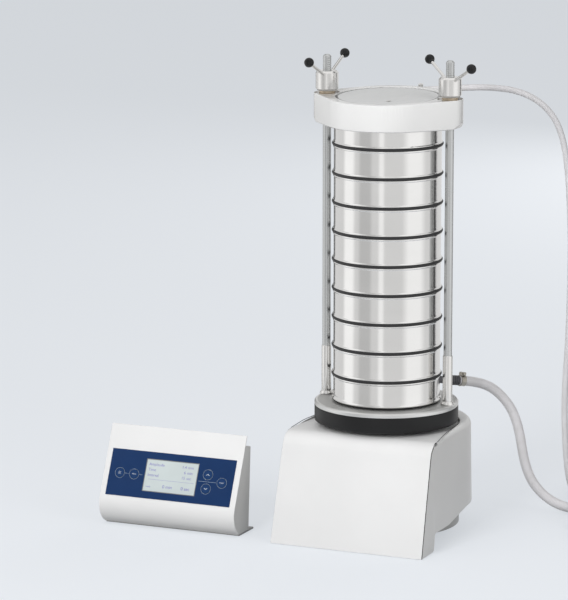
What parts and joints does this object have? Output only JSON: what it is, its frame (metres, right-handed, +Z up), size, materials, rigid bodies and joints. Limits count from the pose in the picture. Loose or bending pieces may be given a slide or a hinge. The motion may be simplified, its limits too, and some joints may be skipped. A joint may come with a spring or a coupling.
{
  "type": "sieve shaker",
  "caption": "Electromagnetic wet sieve shaker: clamped sieve stack on a vibrating table, water inlet and outlet hoses, and a separate control unit with keypad and display.",
  "frame": {"origin": "on the vibration axis, at bench level", "axes": "+Z up along the vibration axis, +X to the right along the drive's front, -Y out of its front"},
  "size_m": [1.0577, 0.6764, 0.9081],
  "materials": {
    "silver_paint": "satin metallic paint",
    "white_paint": "semi-gloss paint",
    "grey_paint": "satin paint",
    "black_paint": "satin black paint",
    "stainless_steel": "fine turned",
    "ground_steel": "ground",
    "coated_steel": "zinc plated",
    "bronze": "turned",
    "black_rubber": "matte",
    "seal_rubber": "matte",
    "silicone": "translucent, faintly grey",
    "black_plastic": "polished",
    "dark_plastic": "fine grained",
    "copper_winding": "enamelled wire",
    "clear_plastic": "clear sheet",
    "blue_membrane": "satin film",
    "display": "clear cover over a grey display",
    "green_laminate": "solder resist"
  },
  "bodies": {
    "base": {"front_cover": "silver_paint", "side_shell": "white_paint", "base_tray": "grey_paint", "rubber_feet": "black_rubber", "magnet_yoke": "coated_steel", "magnet_coil": "copper_winding", "rubber_buffers": "black_rubber", "rear_panel": "dark_plastic"},
    "switch": {"rocker_switch": "black_plastic"},
    "table": {"armature_column": "coated_steel", "table_disc": "black_paint", "table_plate": "stainless_steel", "pan_gasket": "seal_rubber", "clamp_rods": "ground_steel", "rod_sleeves": "stainless_steel"},
    "pan": {"receiver_pan": "stainless_steel", "outlet_fitting": "stainless_steel", "outlet_hose": "silicone", "outlet_hose_coil": "silicone"},
    "cover": {"clamp_bridge": "white_paint", "cover_lid": "clear_plastic", "spray_nozzle": "stainless_steel", "water_inlet": "stainless_steel", "inlet_hose": "silicone", "inlet_hose_coil": "silicone"},
    "left_washer": {"washer_left": "bronze"},
    "right_washer": {"washer_right": "bronze"},
    "left_nut": {"nut_left": "stainless_steel", "knobs_left": "black_plastic"},
    "right_nut": {"nut_right": "stainless_steel", "knobs_right": "black_plastic"},
    "control_unit": {"unit_front": "silver_paint", "unit_housing": "grey_paint", "unit_foot": "silver_paint", "keypad_membrane": "blue_membrane", "display_window": "display", "unit_board": "green_laminate"},
    "sieve_1": {"sieve_1": "stainless_steel", "seal_1": "seal_rubber"},
    "sieve_2": {"sieve_2": "stainless_steel", "seal_2": "seal_rubber"},
    "sieve_3": {"sieve_3": "stainless_steel", "seal_3": "seal_rubber"},
    "sieve_4": {"sieve_4": "stainless_steel", "seal_4": "seal_rubber"},
    "sieve_5": {"sieve_5": "stainless_steel", "seal_5": "seal_rubber"},
    "sieve_6": {"sieve_6": "stainless_steel", "seal_6": "seal_rubber"},
    "sieve_7": {"sieve_7": "stainless_steel", "seal_7": "seal_rubber"},
    "sieve_8": {"sieve_8": "stainless_steel", "seal_8": "seal_rubber"},
    "sieve_9": {"sieve_9": "stainless_steel", "seal_9": "seal_rubber"},
    "key_1": {"key_1": "blue_membrane"},
    "key_2": {"key_2": "blue_membrane"},
    "key_3": {"key_3": "blue_membrane"},
    "key_4": {"key_4": "blue_membrane"},
    "key_5": {"key_5": "blue_membrane"}
  },
  "joints": [
    {"name": "table_vibration", "type": "slide", "parent": "base", "child": "table", "axis": [0, 0, 1], "range_m": [-0.0015, 0.0015], "stiffness_N_per_m": 60000, "springref_m": 0.00608, "deforming": ["rubber_buffers"]},
    {"name": "switch_rock", "type": "hinge", "parent": "base", "child": "switch", "pos_m": [0.008, 0.166, 0.098], "axis": [1, 0, 0], "range_deg": [-16, 0]},
    {"name": "pan_lift", "type": "slide", "parent": "table", "child": "pan", "axis": [0, 0, 1], "range_m": [0, 0.03]},
    {"name": "sieve_9_lift", "type": "slide", "parent": "pan", "child": "sieve_9", "axis": [0, 0, 1], "range_m": [0, 0.02]},
    {"name": "sieve_8_lift", "type": "slide", "parent": "sieve_9", "child": "sieve_8", "axis": [0, 0, 1], "range_m": [0, 0.02]},
    {"name": "sieve_7_lift", "type": "slide", "parent": "sieve_8", "child": "sieve_7", "axis": [0, 0, 1], "range_m": [0, 0.02]},
    {"name": "sieve_6_lift", "type": "slide", "parent": "sieve_7", "child": "sieve_6", "axis": [0, 0, 1], "range_m": [0, 0.02]},
    {"name": "sieve_5_lift", "type": "slide", "parent": "sieve_6", "child": "sieve_5", "axis": [0, 0, 1], "range_m": [0, 0.02]},
    {"name": "sieve_4_lift", "type": "slide", "parent": "sieve_5", "child": "sieve_4", "axis": [0, 0, 1], "range_m": [0, 0.02]},
    {"name": "sieve_3_lift", "type": "slide", "parent": "sieve_4", "child": "sieve_3", "axis": [0, 0, 1], "range_m": [0, 0.02]},
    {"name": "sieve_2_lift", "type": "slide", "parent": "sieve_3", "child": "sieve_2", "axis": [0, 0, 1], "range_m": [0, 0.02]},
    {"name": "sieve_1_lift", "type": "slide", "parent": "sieve_2", "child": "sieve_1", "axis": [0, 0, 1], "range_m": [0, 0.02]},
    {"name": "cover_lift", "type": "slide", "parent": "sieve_1", "child": "cover", "axis": [0, 0, 1], "range_m": [0, 0.024]},
    {"name": "left_nut_travel", "type": "slide", "parent": "cover", "child": "left_washer", "axis": [0, 0, 1], "range_m": [0, 0.024]},
    {"name": "left_nut_spin", "type": "hinge", "parent": "left_washer", "child": "left_nut", "pos_m": [-0.12435, 0, 0.837], "axis": [0, 0, 1], "range_deg": [0, 2160]},
    {"name": "right_nut_travel", "type": "slide", "parent": "cover", "child": "right_washer", "axis": [0, 0, 1], "range_m": [0, 0.024]},
    {"name": "right_nut_spin", "type": "hinge", "parent": "right_washer", "child": "right_nut", "pos_m": [0.12435, 0, 0.837], "axis": [0, 0, 1], "range_deg": [0, 2160]},
    {"name": "control_unit_lift", "type": "slide", "parent": "base", "child": "control_unit", "axis": [0, 0, 1], "range_m": [0, 0.1]},
    {"name": "key_1_press", "type": "slide", "parent": "control_unit", "child": "key_1", "axis": [0, 0.9135, -0.4067], "range_m": [0, 0.0005], "stiffness_N_per_m": 900, "springref_m": -0.0005},
    {"name": "key_2_press", "type": "slide", "parent": "control_unit", "child": "key_2", "axis": [0, 0.9135, -0.4067], "range_m": [0, 0.0005], "stiffness_N_per_m": 900, "springref_m": -0.0005},
    {"name": "key_3_press", "type": "slide", "parent": "control_unit", "child": "key_3", "axis": [0, 0.9135, -0.4067], "range_m": [0, 0.0005], "stiffness_N_per_m": 900, "springref_m": -0.0005},
    {"name": "key_4_press", "type": "slide", "parent": "control_unit", "child": "key_4", "axis": [0, 0.9135, -0.4067], "range_m": [0, 0.0005], "stiffness_N_per_m": 900, "springref_m": -0.0005},
    {"name": "key_5_press", "type": "slide", "parent": "control_unit", "child": "key_5", "axis": [0, 0.9135, -0.4067], "range_m": [0, 0.0005], "stiffness_N_per_m": 900, "springref_m": -0.0005}
  ],
  "couplings": [
    {"joint": "left_nut_spin", "follows": "left_nut_travel", "rad_per_m": 1570.8},
    {"joint": "right_nut_spin", "follows": "right_nut_travel", "rad_per_m": 1570.8}
  ]
}
